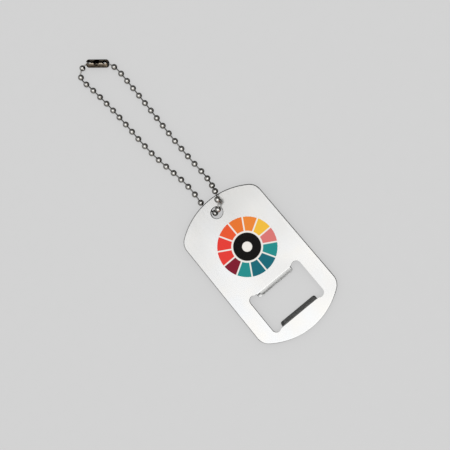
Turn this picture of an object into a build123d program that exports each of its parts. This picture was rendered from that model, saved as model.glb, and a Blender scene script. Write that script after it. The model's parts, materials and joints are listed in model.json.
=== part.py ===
from build123d import *
import os
from math import asin, cos, degrees, radians, sin, sqrt

os.makedirs("parts", exist_ok=True)

# Keychain bottle opener: a stamped steel tag with a lipped opening, and a loop of ball chain.
# Millimetres. X runs across the tag, +Y towards the chain, +Z up from the table.

# Tag blank
TAG_WIDTH = 30.6
TAG_LENGTH = 51.1
SHEET = 1.5
END_ARC_RADIUS = 23.0
CORNER_RADIUS = 4.5
FRONT_EDGE_ROLL = 0.35
BACK_EDGE_ROLL = 0.15

# Chain hole
HOLE_RADIUS = 1.95
HOLE_Y = 20.8
HOLE_EDGE_ROLL = 0.2

# Opener window: two relief slots, one on each side, and two folded lips between them
WINDOW_WIDTH = 20.1
WINDOW_TOP_Y = -6.5
WINDOW_BOTTOM_Y = -20.25
RELIEF_WIDTH = 3.2
UPPER_FOLD_Y = -6.95
LOWER_FOLD_Y = -19.9
LIP_WIDTH = 13.7
LIP_ANGLE = 48.0
LIP_INNER_RADIUS = 0.3
LIP_OUTER_RADIUS = 0.4
LIP_STRAIGHT = 2.0
LIP_CORNER_RADIUS = 0.8
LIP_TIP_ROLL = 0.2

# Printed disc on the front face
PRINT_RADIUS = 9.5
PRINT_X = 0.5
PRINT_Y = 6.2
PRINT_THICKNESS = 0.06

# Ball chain: hollow balls with two wire holes, joined by headed wire links
BALL_RADIUS = 1.0
BALL_WALL = 0.12
BALL_PIVOT = 0.9
WIRE_HOLE_RADIUS = 0.32
WIRE_RADIUS = 0.22
HEAD_RADIUS = 0.34
HEAD_DEPTH = 0.55
LINK_SPAN = 1.6
LEFT_BALLS = 22
RIGHT_BALLS = 21

# Snap connector: a folded sleeve with rounded ends; on top a wire slot, a round mouth for the balls
# in the middle, and a round window over each of the two seats
SLEEVE_RADIUS = 1.38
SLEEVE_WALL = 0.2
SLEEVE_END_ROLL = 0.9
SEAT_SPACING = 5.4
SEAT_PLAY = 0.05
FLANGE_HOLE_RADIUS = 0.55
WIRE_SLOT_WIDTH = 0.6
MOUTH_RADIUS = 1.08
SEAT_WINDOW_RADIUS = 0.65

# How the tag lies: on its lower lip and, under the hole end, on the first ball of the chain
REST_BALL_Y = 23.8
REST_CLEARANCE = 0.03

# Route of the chain on the table, from one connector seat, through the hole, to the other seat
LEFT_ROUTE = [
    (-1.2, 23.0, 1.0),
    (-2.0, 25.0, 1.0),
    (-2.0, 29.0, 1.0),
    (-4.0, 48.0, 1.0),
    (-5.0, 67.0, 1.0),
    (-6.0, 80.0, 1.0),
    (-6.7, 85.0, 1.0),
    (-6.8, 87.8, 0.5),
    (-4.2, 90.0, 1.4),
    (-1.0, 89.2, 1.8),
    (-0.5, 86.0, 1.2),
]
HOLE_BALL = (-0.5, 21.15, 2.45)
RIGHT_ROUTE = [
    (0.7, 20.6, 4.9),
    (2.5, 22.2, 6.5),
    (4.0, 25.8, 5.3),
    (4.3, 28.4, 3.0),
    (4.6, 32.5, 1.5),
    (4.5, 35.0, 1.0),
    (4.2, 45.0, 1.0),
    (4.6, 65.0, 1.0),
    (4.8, 78.0, 1.0),
    (4.6, 82.0, 1.2),
    (3.0, 85.5, 1.7),
    (0.0, 86.5, 1.5),
]
ROUTE_STEPS = 6000

# Direction cosines and lengths nearer to zero than this count as zero.
FLAT = 1e-3


def on_bend(centre_z, radius, angle):
    """Point of a bend in the side view of a lip."""
    return (radius * sin(angle), centre_z + radius * cos(angle))


def past_bend(point):
    """Point at the tip of a lip, straight on from a point where its bend ends."""
    bend = radians(LIP_ANGLE)
    return (point[0] + LIP_STRAIGHT * cos(bend), point[1] - LIP_STRAIGHT * sin(bend))


def lip_corners():
    """Top and low corner of a lip's tip: reach from the fold line, and height over the underside."""
    bend = radians(LIP_ANGLE)
    top = past_bend(on_bend(SHEET - LIP_OUTER_RADIUS, LIP_OUTER_RADIUS, bend))
    low_end = on_bend(-LIP_INNER_RADIUS, LIP_INNER_RADIUS, bend)
    down = (-sin(bend), -cos(bend))
    thickness = (low_end[0] - top[0]) * down[0] + (low_end[1] - top[1]) * down[1]
    return top, (top[0] + thickness * down[0], top[1] + thickness * down[1])


def lip_profile():
    """Side view of a lip that leaves the fold line towards +X and bends down, coined thinner."""
    bend = radians(LIP_ANGLE)
    top_centre = SHEET - LIP_OUTER_RADIUS
    top_end = on_bend(top_centre, LIP_OUTER_RADIUS, bend)
    low_end = on_bend(-LIP_INNER_RADIUS, LIP_INNER_RADIUS, bend)
    tip_top, tip_low = lip_corners()
    with BuildLine() as edge:
        ThreePointArc((0, SHEET), on_bend(top_centre, LIP_OUTER_RADIUS, bend / 2), top_end)
        Line(top_end, tip_top)
        Line(tip_top, tip_low)
        Line(tip_low, low_end)
        ThreePointArc(low_end, on_bend(-LIP_INNER_RADIUS, LIP_INNER_RADIUS, bend / 2), (0, 0))
        Line((0, 0), (0, SHEET))
    return make_face(edge.edges())


def make_lip():
    """One lip, its fold line along Y at the origin, reaching towards +X."""
    side = Plane(origin=(0, LIP_WIDTH / 2, 0), x_dir=(1, 0, 0), z_dir=(0, -1, 0))
    lip = extrude(side * lip_profile(), LIP_WIDTH)
    outward = Vector(cos(radians(LIP_ANGLE)), 0, -sin(radians(LIP_ANGLE)))
    tip = lip.faces().sort_by(lambda face: face.center().dot(outward))[-1]
    corners = [e for e in tip.edges() if abs(e.tangent_at(0.5).Y) < FLAT]
    lip = fillet(corners, LIP_CORNER_RADIUS)
    tip = lip.faces().sort_by(lambda face: face.center().dot(outward))[-1]
    return fillet(tip.edges().filter_by(Axis.Y), LIP_TIP_ROLL)


def make_blank():
    """Flat tag blank, its underside at Z 0."""
    half_w = TAG_WIDTH / 2
    half_l = TAG_LENGTH / 2
    shoulder = half_l - END_ARC_RADIUS + sqrt(END_ARC_RADIUS**2 - half_w**2)
    with BuildSketch() as outline:
        with BuildLine():
            Line((-half_w, -shoulder), (-half_w, shoulder))
            ThreePointArc((-half_w, shoulder), (0, half_l), (half_w, shoulder))
            Line((half_w, shoulder), (half_w, -shoulder))
            ThreePointArc((half_w, -shoulder), (0, -half_l), (-half_w, -shoulder))
        make_face()
        fillet(outline.vertices(), CORNER_RADIUS)
    blank = extrude(outline.sketch, SHEET)
    front = blank.faces().sort_by(Axis.Z)[-1]
    blank = fillet(front.edges(), FRONT_EDGE_ROLL)
    back = blank.faces().sort_by(Axis.Z)[0]
    return fillet(back.edges(), BACK_EDGE_ROLL)


def make_tag():
    """The whole steel tag, lips included, its underside at Z 0."""
    tag = make_blank()
    drill = Pos(0, HOLE_Y, SHEET / 2) * Cylinder(HOLE_RADIUS, 2 * SHEET)
    tag -= drill
    rims = [e for e in tag.edges().filter_by(GeomType.CIRCLE) if abs(e.radius - HOLE_RADIUS) < FLAT]
    tag = fillet(rims, HOLE_EDGE_ROLL)
    window_length = WINDOW_TOP_Y - WINDOW_BOTTOM_Y
    window_y = (WINDOW_TOP_Y + WINDOW_BOTTOM_Y) / 2
    relief_x = (WINDOW_WIDTH - RELIEF_WIDTH) / 2
    cut = Pos(0, (UPPER_FOLD_Y + LOWER_FOLD_Y) / 2) * Rectangle(2 * relief_x, UPPER_FOLD_Y - LOWER_FOLD_Y)
    for x in (-relief_x, relief_x):
        cut += Pos(x, window_y) * Rot(0, 0, 90) * SlotOverall(window_length, RELIEF_WIDTH)
    tag -= Pos(0, 0, -SHEET) * extrude(cut, 3 * SHEET)
    lip = make_lip()
    tag += Pos(0, UPPER_FOLD_Y, 0) * Rot(0, 0, -90) * lip
    tag += Pos(0, LOWER_FOLD_Y, 0) * Rot(0, 0, 90) * lip
    return tag


def tag_rest():
    """Location that lays the tag on its lower lip and on the first ball."""
    _, (reach, tip_z) = lip_corners()
    tip_y = LOWER_FOLD_Y + reach
    rise = 2 * BALL_RADIUS + REST_CLEARANCE + tip_z
    tilt = asin(rise / (REST_BALL_Y - tip_y))
    lift = -(tip_y * sin(tilt) + tip_z * cos(tilt))
    return Pos(0, 0, lift) * Rot(degrees(tilt), 0, 0)


def walk(spine, start, spans):
    """Points along a spine, each one straight span from the point before it."""
    samples = [spine.position_at(i / ROUTE_STEPS) for i in range(ROUTE_STEPS + 1)]
    samples = [Vector(p.X, p.Y, max(p.Z, BALL_RADIUS)) for p in samples]
    nearest = min(range(len(samples)), key=lambda i: (samples[i] - start).length)
    points = [start]
    i = nearest
    for span in spans:
        while (samples[i] - points[-1]).length < span:
            i += 1
        points.append(points[-1] + (samples[i] - points[-1]).normalized() * span)
    return points


def strand(route, balls, hole_ball, towards):
    """Pivot points of one strand: the hole ball's far pivot, then two for each further ball."""
    spine = Spline(Vector(*hole_ball), *[Vector(*p) for p in route])
    first = Vector(*hole_ball) + towards * BALL_PIVOT
    spans = [LINK_SPAN, 2 * BALL_PIVOT] * balls
    return walk(spine, first, spans)


def aim(origin, direction):
    """Location at origin whose local X runs along direction."""
    up = Vector(0, 0, 1) if abs(direction.Z) < 0.9 else Vector(0, 1, 0)
    across = up.cross(direction).normalized()
    plane = Plane(origin=origin, x_dir=direction.normalized(), z_dir=direction.cross(across).normalized())
    return plane.location


def make_ball():
    """Hollow ball with its two wire holes along X."""
    ball = Sphere(BALL_RADIUS) - Sphere(BALL_RADIUS - BALL_WALL)
    return ball - Rot(0, 90, 0) * Cylinder(WIRE_HOLE_RADIUS, 3 * BALL_RADIUS)


def make_link():
    """Headed wire link along X, centred between its two pivots."""
    reach = LINK_SPAN / 2 + HEAD_DEPTH
    link = Rot(0, 90, 0) * Cylinder(WIRE_RADIUS, 2 * reach)
    for x in (-reach, reach):
        link += Pos(x, 0, 0) * Sphere(HEAD_RADIUS)
    return link


def rounded_rod(radius, half_length, end_roll):
    """Solid rod along X with rounded ends."""
    rod = Rot(0, 90, 0) * Cylinder(radius, 2 * half_length)
    return fillet(rod.edges().filter_by(GeomType.CIRCLE), end_roll)


def make_sleeve():
    """Snap connector along X, its slot, mouth and seat windows facing +Z."""
    half = SEAT_SPACING / 2 + BALL_RADIUS + SEAT_PLAY + SLEEVE_WALL
    sleeve = rounded_rod(SLEEVE_RADIUS, half, SLEEVE_END_ROLL)
    sleeve -= rounded_rod(SLEEVE_RADIUS - SLEEVE_WALL, half - SLEEVE_WALL, SLEEVE_END_ROLL - SLEEVE_WALL)
    sleeve -= Rot(0, 90, 0) * Cylinder(FLANGE_HOLE_RADIUS, 3 * half)
    sleeve -= Pos(0, 0, SLEEVE_RADIUS) * Box(3 * half, WIRE_SLOT_WIDTH, 2 * SLEEVE_RADIUS)
    sleeve -= Pos(0, 0, SLEEVE_RADIUS) * Cylinder(MOUTH_RADIUS, 2 * SLEEVE_RADIUS)
    for x in (-SEAT_SPACING / 2, SEAT_SPACING / 2):
        sleeve -= Pos(x, 0, SLEEVE_RADIUS) * Cylinder(SEAT_WINDOW_RADIUS, 2 * SLEEVE_RADIUS)
    return sleeve


def strand_nodes(points, balls, side):
    """Each ball of a strand with the link that leads on from it, by node name."""
    found = {}
    for k in range(1, balls + 1):
        near, far = points[2 * k - 1], points[2 * k]
        pieces = [aim((near + far) * 0.5, far - near) * ball]
        if k < balls:
            onward = points[2 * k + 1]
            pieces.append(aim((far + onward) * 0.5, onward - far) * link)
        found[f"{side}_ball_{k:02d}"] = Compound(children=pieces)
    return found


# The ball in the hole points from the left strand below to the right strand above.
hole_ball = Vector(*HOLE_BALL)
through = (Vector(*RIGHT_ROUTE[0]) - Vector(*LEFT_ROUTE[0])).normalized()
left = strand(LEFT_ROUTE, LEFT_BALLS, HOLE_BALL, through * -1)
right = strand(RIGHT_ROUTE, RIGHT_BALLS, HOLE_BALL, through)

ball = make_ball()
link = make_link()
hole_pieces = [aim(hole_ball, through) * ball]
for points in (left, right):
    hole_pieces.append(aim((points[0] + points[1]) * 0.5, points[1] - points[0]) * link)

# The connector holds the last ball of each strand in one of its two seats.
left_seat = (left[-2] + left[-1]) * 0.5
right_seat = (right[-2] + right[-1]) * 0.5
sleeve_place = aim((left_seat + right_seat) * 0.5, right_seat - left_seat)

rest = tag_rest()
printed = Pos(PRINT_X, PRINT_Y, SHEET + PRINT_THICKNESS / 2) * Cylinder(PRINT_RADIUS, PRINT_THICKNESS)
nodes = {
    "opener_tag": rest * make_tag(),
    "printed_disc": rest * printed,
    "hole_ball": Compound(children=hole_pieces),
    **strand_nodes(left, LEFT_BALLS, "left"),
    **strand_nodes(right, RIGHT_BALLS, "right"),
    "snap_connector": sleeve_place * make_sleeve(),
}

# The origin goes under the middle of the whole object.
boxes = [shape.bounding_box() for shape in nodes.values()]
low_y = min(box.min.Y for box in boxes)
high_y = max(box.max.Y for box in boxes)
low_x = min(box.min.X for box in boxes)
high_x = max(box.max.X for box in boxes)
centring = Pos(-(low_x + high_x) / 2, -(low_y + high_y) / 2, 0)
for node, shape in nodes.items():
    export_step(centring * shape, f"parts/{node}.step")
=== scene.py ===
import bpy
import json
import math
from mathutils import Matrix, Vector


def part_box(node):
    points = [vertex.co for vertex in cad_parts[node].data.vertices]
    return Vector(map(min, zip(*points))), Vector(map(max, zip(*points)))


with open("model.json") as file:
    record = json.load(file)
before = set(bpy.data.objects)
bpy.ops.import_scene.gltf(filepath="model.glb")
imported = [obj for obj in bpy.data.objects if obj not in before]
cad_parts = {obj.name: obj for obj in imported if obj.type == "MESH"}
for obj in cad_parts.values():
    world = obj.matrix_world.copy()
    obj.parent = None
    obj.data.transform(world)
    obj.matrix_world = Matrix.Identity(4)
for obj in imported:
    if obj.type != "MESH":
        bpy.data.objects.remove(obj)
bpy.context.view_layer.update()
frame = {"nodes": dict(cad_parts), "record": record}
scene = bpy.context.scene
nodes = frame["nodes"]

# ---------------------------------------------------------------- camera

MM = 0.001
CAMERA_PLACE = Vector((14.09, -54.08, 196.81)) * MM
CAMERA_AIM = Vector((-0.76, -16.09, 0.0)) * MM
CAMERA_UP = Vector((0.6456, 0.7574, 0.0975))
CAMERA_LENS = 50.1
SENSOR = 36.0
NEAREST, FARTHEST = 0.01, 20.0


def make_camera():
    """The camera, from its place, what it looks at and the direction that is up in its picture."""
    back = (CAMERA_PLACE - CAMERA_AIM).normalized()
    right = CAMERA_UP.cross(back).normalized()
    up = back.cross(right)
    data = bpy.data.cameras.new("camera")
    data.lens = CAMERA_LENS
    data.sensor_width = SENSOR
    data.clip_start = NEAREST
    data.clip_end = FARTHEST
    camera = bpy.data.objects.new("camera", data)
    turn = Matrix((right, up, back)).transposed()
    camera.matrix_world = Matrix.Translation(CAMERA_PLACE) @ turn.to_4x4()
    scene.collection.objects.link(camera)
    scene.camera = camera


# ---------------------------------------------------------------- shader helpers


class Shader:
    """A material's or world's node tree with short ways to add and join nodes."""

    def __init__(self, tree):
        self.tree = tree
        tree.nodes.clear()

    def node(self, kind, settings=None, **inputs):
        made = self.tree.nodes.new(kind)
        for key, value in (settings or {}).items():
            setattr(made, key, value)
        for key, value in inputs.items():
            self.put(made.inputs[key.replace("_", " ")], value)
        return made

    def put(self, socket, value):
        if isinstance(value, bpy.types.NodeSocket):
            self.tree.links.new(value, socket)
        else:
            socket.default_value = value

    def math(self, operation, a, b=0.0, c=0.0, clamp=False):
        made = self.tree.nodes.new("ShaderNodeMath")
        made.operation = operation
        made.use_clamp = clamp
        for socket, value in zip(made.inputs, (a, b, c)):
            self.put(socket, value)
        return made.outputs[0]

    def spread(self, value, low, high, to_low=0.0, to_high=1.0, smooth=False):
        made = self.tree.nodes.new("ShaderNodeMapRange")
        if smooth:
            made.interpolation_type = "SMOOTHSTEP"
        for key, item in (("Value", value), ("From Min", low), ("From Max", high),
                          ("To Min", to_low), ("To Max", to_high)):
            self.put(made.inputs[key], item)
        return made.outputs[0]

    def mix(self, share, a, b):
        made = self.tree.nodes.new("ShaderNodeMix")
        made.data_type = "RGBA"
        self.put(made.inputs[0], share)
        self.put(made.inputs[6], a)
        self.put(made.inputs[7], b)
        return made.outputs[2]

    def place(self, scale=(1, 1, 1), rotation=(0, 0, 0)):
        """Object coordinates in metres, turned and then scaled per axis."""
        where = self.node("ShaderNodeTexCoord").outputs["Object"]
        if tuple(rotation) != (0, 0, 0):
            where = self.node("ShaderNodeMapping", {"vector_type": "POINT"},
                              Vector=where, Rotation=rotation).outputs[0]
        return self.node("ShaderNodeMapping", {"vector_type": "POINT"},
                         Vector=where, Scale=scale).outputs[0]

    def noise(self, vector, scale, detail=2.0, rough=0.5):
        return self.node("ShaderNodeTexNoise", Vector=vector, Scale=scale,
                         Detail=detail, Roughness=rough).outputs["Fac"]


def new_material(name):
    material = bpy.data.materials.new(name)
    material.use_nodes = True
    shader = Shader(material.node_tree)
    surface = shader.node("ShaderNodeBsdfPrincipled")
    output = shader.node("ShaderNodeOutputMaterial")
    shader.tree.links.new(surface.outputs[0], output.inputs["Surface"])
    return material, shader, surface


def rgb(r, g, b):
    """An sRGB colour, 0 to 255 per channel, as a linear one."""
    def linear(c):
        c /= 255.0
        return c / 12.92 if c <= 0.04045 else ((c + 0.055) / 1.055) ** 2.4
    return (linear(r), linear(g), linear(b), 1.0)


# ---------------------------------------------------------------- materials

# A surface is flat where its normal's height is over the first of these, and a slope under the second.
SLOPE_STARTS, SLOPE_FULL = 0.985, 0.80
# Nickel is painted lighter where the height of its normal passes from the first to the second: rubbed
# wear and a painted highlight.
RUB_AND_HIGHLIGHT_STARTS, RUB_AND_HIGHLIGHT_FULL = 0.80, 0.93
# How far a crevice or a nearby part is looked for, in metres, and the open share of the view where the
# painted shade and dirt end.
CREVICE_REACH = 0.0016
SHADE_AND_DIRT_FULL, SHADE_AND_DIRT_ENDS = 0.50, 0.95

# Steel: noise sizes per metre for its mottling and clouding, and its brushing and scratches per axis.
MOTTLING, CLOUDING = 130.0, 45.0
BRUSHING = (2600, 130, 130)
SCRATCHES, SCRATCH_TURN = (1500, 90, 90), 0.45
STEEL_SMOOTHEST, STEEL_ROUGHEST = 0.17, 0.24
STEEL_BUMP = 0.00003
# Nickel and ink: the size of their finest grain per metre, and its depth in metres.
NICKEL_GRAIN, INK_GRAIN = 2600.0, 3000.0
FINE_BUMP = 0.00002

# Metal colours: untarnished plate, tarnished patches, the top that faces up painted lighter as rubbed
# wear and painted highlight, and crevices and places near other parts painted darker as dirt and painted
# shade.
CHAIN_NICKEL = {
    "light": (0.57, 0.55, 0.51, 1),
    "dark": (0.38, 0.355, 0.315, 1),
    "crown_and_highlight": (0.78, 0.77, 0.74, 1),
    "dirt_and_shade": (0.08, 0.073, 0.06, 1),
    "roughness": 0.12,
    "patch_scale": 420.0,
}
# The same kinds of colour for the connector: its top painted lighter as wear and painted highlight, its
# crevices darker as dirt and painted shade.
CONNECTOR_NICKEL = {
    "light": (0.32, 0.25, 0.18, 1),
    "dark": (0.08, 0.06, 0.04, 1),
    "crown_and_highlight": (0.50, 0.43, 0.34, 1),
    "dirt_and_shade": (0.06, 0.045, 0.03, 1),
    "roughness": 0.14,
    "patch_scale": 900.0,
}

INK_BLACK = (8, 7, 7)
INK_CREAM = (246, 243, 236)
INK_TEAL = (38, 146, 144)
INK_DEEP_TEAL = (24, 108, 122)
INK_MAROON = (130, 24, 46)
INK_RED = (236, 64, 56)
INK_VERMILION = (240, 92, 50)
INK_ORANGE = (240, 122, 50)
INK_AMBER = (244, 140, 58)
INK_YELLOW = (250, 196, 66)
INK_PINK = (226, 124, 120)
# The wheel's sectors in turn, from the -Y side towards -X.
WHEEL = [
    INK_DEEP_TEAL, INK_TEAL, INK_MAROON, INK_RED, INK_RED, INK_VERMILION,
    INK_ORANGE, INK_AMBER, INK_YELLOW, INK_PINK, INK_TEAL, INK_DEEP_TEAL,
]
# Shares of the print's radius: the dot, the hub, the cream ring round the hub, the soft edge of each,
# half the gap between two sectors, and the gap's soft edge.
DOT, HUB, RING = 0.16, 0.46, 0.52
INK_BLEED = 0.015
GAP_HALF = 0.018
GAP_BLEED = 0.012


def steel():
    """Bright steel, faintly brushed along its length, smooth on its slopes, with marks of handling."""
    material, s, surface = new_material("tag_steel_looks")
    free = s.place()
    mottling = s.noise(free, MOTTLING, 3.0, 0.55)
    cloud = s.noise(free, CLOUDING, 2.0, 0.5)
    brushing = s.noise(s.place(BRUSHING), 1.0, 3.0, 0.6)
    scratches = s.noise(s.place(SCRATCHES, (0, 0, SCRATCH_TURN)), 1.0, 1.0, 0.4)
    facing = s.node("ShaderNodeSeparateXYZ", Vector=s.node("ShaderNodeTexCoord").outputs["Normal"])
    edge = s.spread(facing.outputs["Z"], SLOPE_STARTS, SLOPE_FULL, smooth=True)
    flat = s.math("SUBTRACT", 1.0, edge)
    scratch = s.math("MULTIPLY", s.spread(scratches, 0.70, 0.78), flat)
    tint = s.mix(s.spread(mottling, 0.35, 0.65), (0.84, 0.85, 0.86, 1), (0.87, 0.855, 0.825, 1))
    tint = s.mix(s.spread(cloud, 0.35, 0.7), tint, (0.79, 0.785, 0.77, 1))
    s.put(surface.inputs["Base Color"], s.mix(edge, tint, (0.88, 0.88, 0.87, 1)))
    surface.inputs["Metallic"].default_value = 1.0
    even = s.spread(brushing, 0.25, 0.75, STEEL_SMOOTHEST, STEEL_ROUGHEST)
    handled = s.math("ADD", even, s.spread(cloud, 0.3, 0.7, -0.03, 0.05))
    worn = s.math("MULTIPLY_ADD", edge, -0.08, handled)
    s.put(surface.inputs["Roughness"], s.math("MULTIPLY_ADD", scratch, 0.06, worn))
    height = s.math("MULTIPLY_ADD", scratch, -0.4, s.math("MULTIPLY", brushing, flat))
    bump = s.node("ShaderNodeBump", Strength=0.08, Distance=STEEL_BUMP, Height=height)
    s.put(surface.inputs["Normal"], bump.outputs[0])
    return material


def nickel(name, light, dark, crown_and_highlight, dirt_and_shade, roughness, patch_scale):
    """Nickel plate, tarnished in patches, painted lighter where it faces up as rubbed wear and painted
    highlight, and darker in crevices and near other parts as dirt and painted shade.
    """
    material, s, surface = new_material(name)
    free = s.place()
    patches = s.noise(free, patch_scale, 3.0, 0.6)
    grain = s.noise(free, NICKEL_GRAIN, 2.0, 0.5)
    facing = s.node("ShaderNodeSeparateXYZ", Vector=s.node("ShaderNodeTexCoord").outputs["Normal"])
    # Painted highlight with rubbed wear: the base colour turns lighter where the normal faces up.
    rubbed_and_highlit = s.spread(facing.outputs["Z"], RUB_AND_HIGHLIGHT_STARTS, RUB_AND_HIGHLIGHT_FULL, smooth=True)
    plate = s.mix(s.spread(patches, 0.38, 0.68), light, dark)
    plate_and_highlight = s.mix(rubbed_and_highlit, plate, crown_and_highlight)
    # Painted shade with dirt: the base colour turns darker where nearby surfaces, of this part or of
    # others, close off the view.
    opening = s.node("ShaderNodeAmbientOcclusion", {"samples": 8}, Distance=CREVICE_REACH).outputs["AO"]
    s.put(surface.inputs["Base Color"], s.mix(s.spread(opening, SHADE_AND_DIRT_FULL, SHADE_AND_DIRT_ENDS), dirt_and_shade, plate_and_highlight))
    surface.inputs["Metallic"].default_value = 1.0
    rough = s.spread(patches, 0.3, 0.7, roughness, roughness + 0.12)
    s.put(surface.inputs["Roughness"], s.math("ADD", rough, s.spread(grain, 0.3, 0.7, -0.03, 0.04)))
    bump = s.node("ShaderNodeBump", Strength=0.12, Distance=FINE_BUMP, Height=grain)
    s.put(surface.inputs["Normal"], bump.outputs[0])
    return material


def print_ink():
    """Satin print: a plain wheel of coloured sectors round a dark hub."""
    material, s, surface = new_material("print_looks")
    low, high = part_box("printed_disc")
    centre = (low + high) / 2
    radius = (high.x - low.x) / 2
    where = s.node("ShaderNodeTexCoord").outputs["Object"]
    local = s.node("ShaderNodeMapping", {"vector_type": "POINT"}, Vector=where,
                   Location=tuple(-c / radius for c in centre), Scale=(1 / radius,) * 3).outputs[0]
    split = s.node("ShaderNodeSeparateXYZ", Vector=local)
    x, y = split.outputs["X"], split.outputs["Y"]
    far = s.math("SQRT", s.math("ADD", s.math("MULTIPLY", x, x), s.math("MULTIPLY", y, y)))
    turn = s.math("ADD", s.math("DIVIDE", s.math("ARCTAN2", x, y), 2 * math.pi), 0.5)
    ramp = s.node("ShaderNodeValToRGB", Fac=turn)
    ramp.color_ramp.interpolation = "CONSTANT"
    sectors = [rgb(*ink) for ink in WHEEL]
    stops = ramp.color_ramp.elements
    stops[0].position, stops[0].color = 0.0, sectors[0]
    stops[1].position, stops[1].color = 1 / len(sectors), sectors[1]
    for i, colour in enumerate(sectors[2:], start=2):
        stops.new(i / len(sectors)).color = colour
    along = s.math("FRACT", s.math("MULTIPLY", turn, len(sectors)))
    off_edge = s.math("MULTIPLY", s.math("MINIMUM", along, s.math("SUBTRACT", 1.0, along)),
                      s.math("MULTIPLY", far, 2 * math.pi / len(sectors)))
    cream = rgb(*INK_CREAM)
    wheel = s.mix(s.spread(off_edge, GAP_HALF, GAP_HALF + GAP_BLEED), cream, ramp.outputs[0])
    hub = s.mix(s.spread(far, HUB, HUB + INK_BLEED), rgb(*INK_BLACK), cream)
    hub = s.mix(s.spread(far, DOT, DOT + INK_BLEED), cream, hub)
    face = s.mix(s.spread(far, RING, RING + INK_BLEED), hub, wheel)
    speckle = s.noise(s.place(), INK_GRAIN, 2.0, 0.5)
    s.put(surface.inputs["Base Color"], s.mix(s.spread(speckle, 0.3, 0.9, 0.0, 0.012), face, cream))
    s.put(surface.inputs["Roughness"], s.spread(speckle, 0.3, 0.7, 0.45, 0.6))
    surface.inputs["Specular IOR Level"].default_value = 0.08
    bump = s.node("ShaderNodeBump", Strength=0.06, Distance=FINE_BUMP, Height=speckle)
    s.put(surface.inputs["Normal"], bump.outputs[0])
    return material


def paper():
    """The plain pale floor."""
    material, s, surface = new_material("floor_looks")
    fleck = s.noise(s.place(), 260.0, 2.0, 0.5)
    s.put(surface.inputs["Base Color"], s.mix(fleck, (0.16, 0.16, 0.16, 1), (0.17, 0.17, 0.17, 1)))
    surface.inputs["Roughness"].default_value = 0.9
    surface.inputs["Specular IOR Level"].default_value = 0.0
    surface.inputs["Emission Color"].default_value = (1, 1, 1, 1)
    surface.inputs["Emission Strength"].default_value = FLOOR_GLOW
    return material


# ---------------------------------------------------------------- stage and light

FLOOR_HALF = 4.0
FLOOR_GLOW = 0.50
# The grey that the camera sees past the floor's edge, and the light on matt surfaces.
BACKDROP = 0.605
EVEN_LIGHT = 0.62
# Studio windows that metal sees: direction, the cosines where each starts and is full, and strength.
SIDE_LIGHT = ((-0.9, -0.3, 0.0), -0.6, 0.9, 0.28)
FRONT_STRIP = ((0.0, -1.0, 0.0), 0.83, 0.94, 0.80)
FRONT_WINDOW = ((-0.63, -0.63, 0.45), 0.84, 0.95, 0.60)
BACK_WINDOW = ((-0.63, 0.63, 0.45), 0.84, 0.95, 0.42)
RIGHT_WALL = ((1.0, -0.10, -0.05), 0.80, 0.96, 0.20)
OVERHEAD = ((0.0, -0.34, 0.94), 0.74, 0.84, 1.0)
DARKEST = 0.006
# The first light a metal ray meets has this ray depth; one more is light seen by metal in metal.
DIRECT, SECOND = 2.0, 3.0

SOFTBOX_PLACE = (0.02, -0.07, 0.55)
SOFTBOX_SIZE = 0.66
SOFTBOX_RADIANCE = 0.98


def make_floor():
    mesh = bpy.data.meshes.new("floor")
    half = FLOOR_HALF
    corners = [(-half, -half, 0), (half, -half, 0), (half, half, 0), (-half, half, 0)]
    mesh.from_pydata(corners, [], [(0, 1, 2, 3)])
    mesh.materials.append(paper())
    floor = bpy.data.objects.new("floor", mesh)
    scene.collection.objects.link(floor)
    floor.visible_glossy = False


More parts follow.
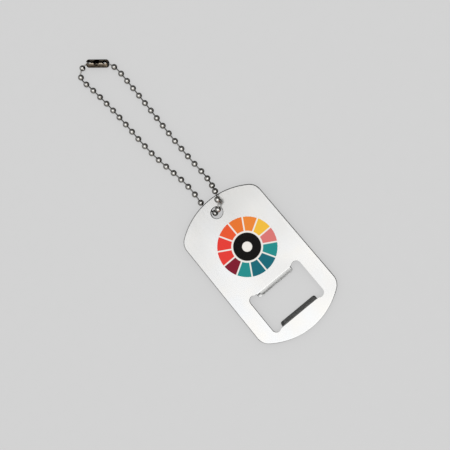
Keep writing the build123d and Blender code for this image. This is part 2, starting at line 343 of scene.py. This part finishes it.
def make_world():
    """Even light for matt surfaces, and for metal a studio of windows with a broad light overhead.

    Metal seen in metal gets less of the light from the front, so crevices stay dark.
    """
    world = bpy.data.worlds.new("studio")
    scene.world = world
    world.use_nodes = True
    s = Shader(world.node_tree)
    towards = s.node("ShaderNodeTexCoord").outputs["Generated"]

    def lobe(direction, edge, full, strength):
        """Light from around a direction, from the cosine where it starts to the one where it is full."""
        near = s.node("ShaderNodeVectorMath", {"operation": "DOT_PRODUCT"})
        s.put(near.inputs[0], towards)
        s.put(near.inputs[1], direction)
        return s.spread(near.outputs["Value"], edge, full, 0.0, strength, smooth=True)

    split = s.node("ShaderNodeSeparateXYZ", Vector=towards)
    y, z = split.outputs["Y"], split.outputs["Z"]
    low = s.math("ADD", s.math("ADD", lobe(*SIDE_LIGHT), lobe(*FRONT_STRIP)), DARKEST)
    band_foot = s.spread(z, 0.12, 0.20, 0.0, 0.40, smooth=True)
    band = s.math("MULTIPLY", band_foot, s.spread(z, 0.40, 0.30, smooth=True))
    for window in (lobe(*FRONT_WINDOW), lobe(*BACK_WINDOW), lobe(*RIGHT_WALL), band):
        low = s.math("MAXIMUM", low, window)
    overhead = lobe(*OVERHEAD)
    brighter_in_front = s.spread(y, -0.10, 0.17, 1.20, 0.97)
    brighter_at_rim = s.spread(z, 0.97, 0.90, 0.0, 0.2, smooth=True)
    ceiling = s.math("ADD", brighter_in_front, brighter_at_rim)
    first = s.math("ADD", s.math("MULTIPLY", low, s.math("SUBTRACT", 1.0, overhead)),
                   s.math("MULTIPLY", ceiling, overhead))
    path = s.node("ShaderNodeLightPath")
    again = s.spread(y, -0.05, 0.08, 0.07, 0.95)
    dimming = s.spread(path.outputs["Ray Depth"], DIRECT, SECOND, 1.0, again)
    room = s.math("MULTIPLY", first, dimming)

    seen = s.node("ShaderNodeBackground", Color=(BACKDROP, BACKDROP, BACKDROP, 1), Strength=1.0)
    even = s.node("ShaderNodeBackground", Color=(1, 1, 1, 1), Strength=EVEN_LIGHT)
    shine = s.node("ShaderNodeBackground", Color=(1, 1, 1, 1), Strength=room)
    glossy = s.node("ShaderNodeMixShader", Fac=path.outputs["Is Glossy Ray"])
    s.tree.links.new(even.outputs[0], glossy.inputs[1])
    s.tree.links.new(shine.outputs[0], glossy.inputs[2])
    camera = s.node("ShaderNodeMixShader", Fac=path.outputs["Is Camera Ray"])
    s.tree.links.new(glossy.outputs[0], camera.inputs[1])
    s.tree.links.new(seen.outputs[0], camera.inputs[2])
    output = s.node("ShaderNodeOutputWorld")
    s.tree.links.new(camera.outputs[0], output.inputs["Surface"])


def area_light(name, place, target, size, radiance):
    """A square light whose face gives off a set radiance."""
    data = bpy.data.lights.new(name, "AREA")
    data.shape = "SQUARE"
    data.size = size
    data.energy = radiance * math.pi * size * size
    light = bpy.data.objects.new(name, data)
    light.location = place
    light.rotation_euler = (Vector(target) - Vector(place)).to_track_quat("-Z", "Y").to_euler()
    light.visible_glossy = False
    scene.collection.objects.link(light)


make_camera()
make_floor()
make_world()
area_light("softbox", SOFTBOX_PLACE, (0, 0, 0), SOFTBOX_SIZE, SOFTBOX_RADIANCE)

looks = {
    "tag_steel": steel(),
    "print": print_ink(),
    "chain_nickel": nickel("chain_looks", **CHAIN_NICKEL),
    "connector_nickel": nickel("connector_looks", **CONNECTOR_NICKEL),
}
for part in frame["record"]["subparts"]:
    piece = nodes[part["node"]]
    for slot in piece.material_slots:
        slot.material = looks[part["material_slot"]]

scene.view_settings.view_transform = "Standard"
scene.view_settings.look = "None"
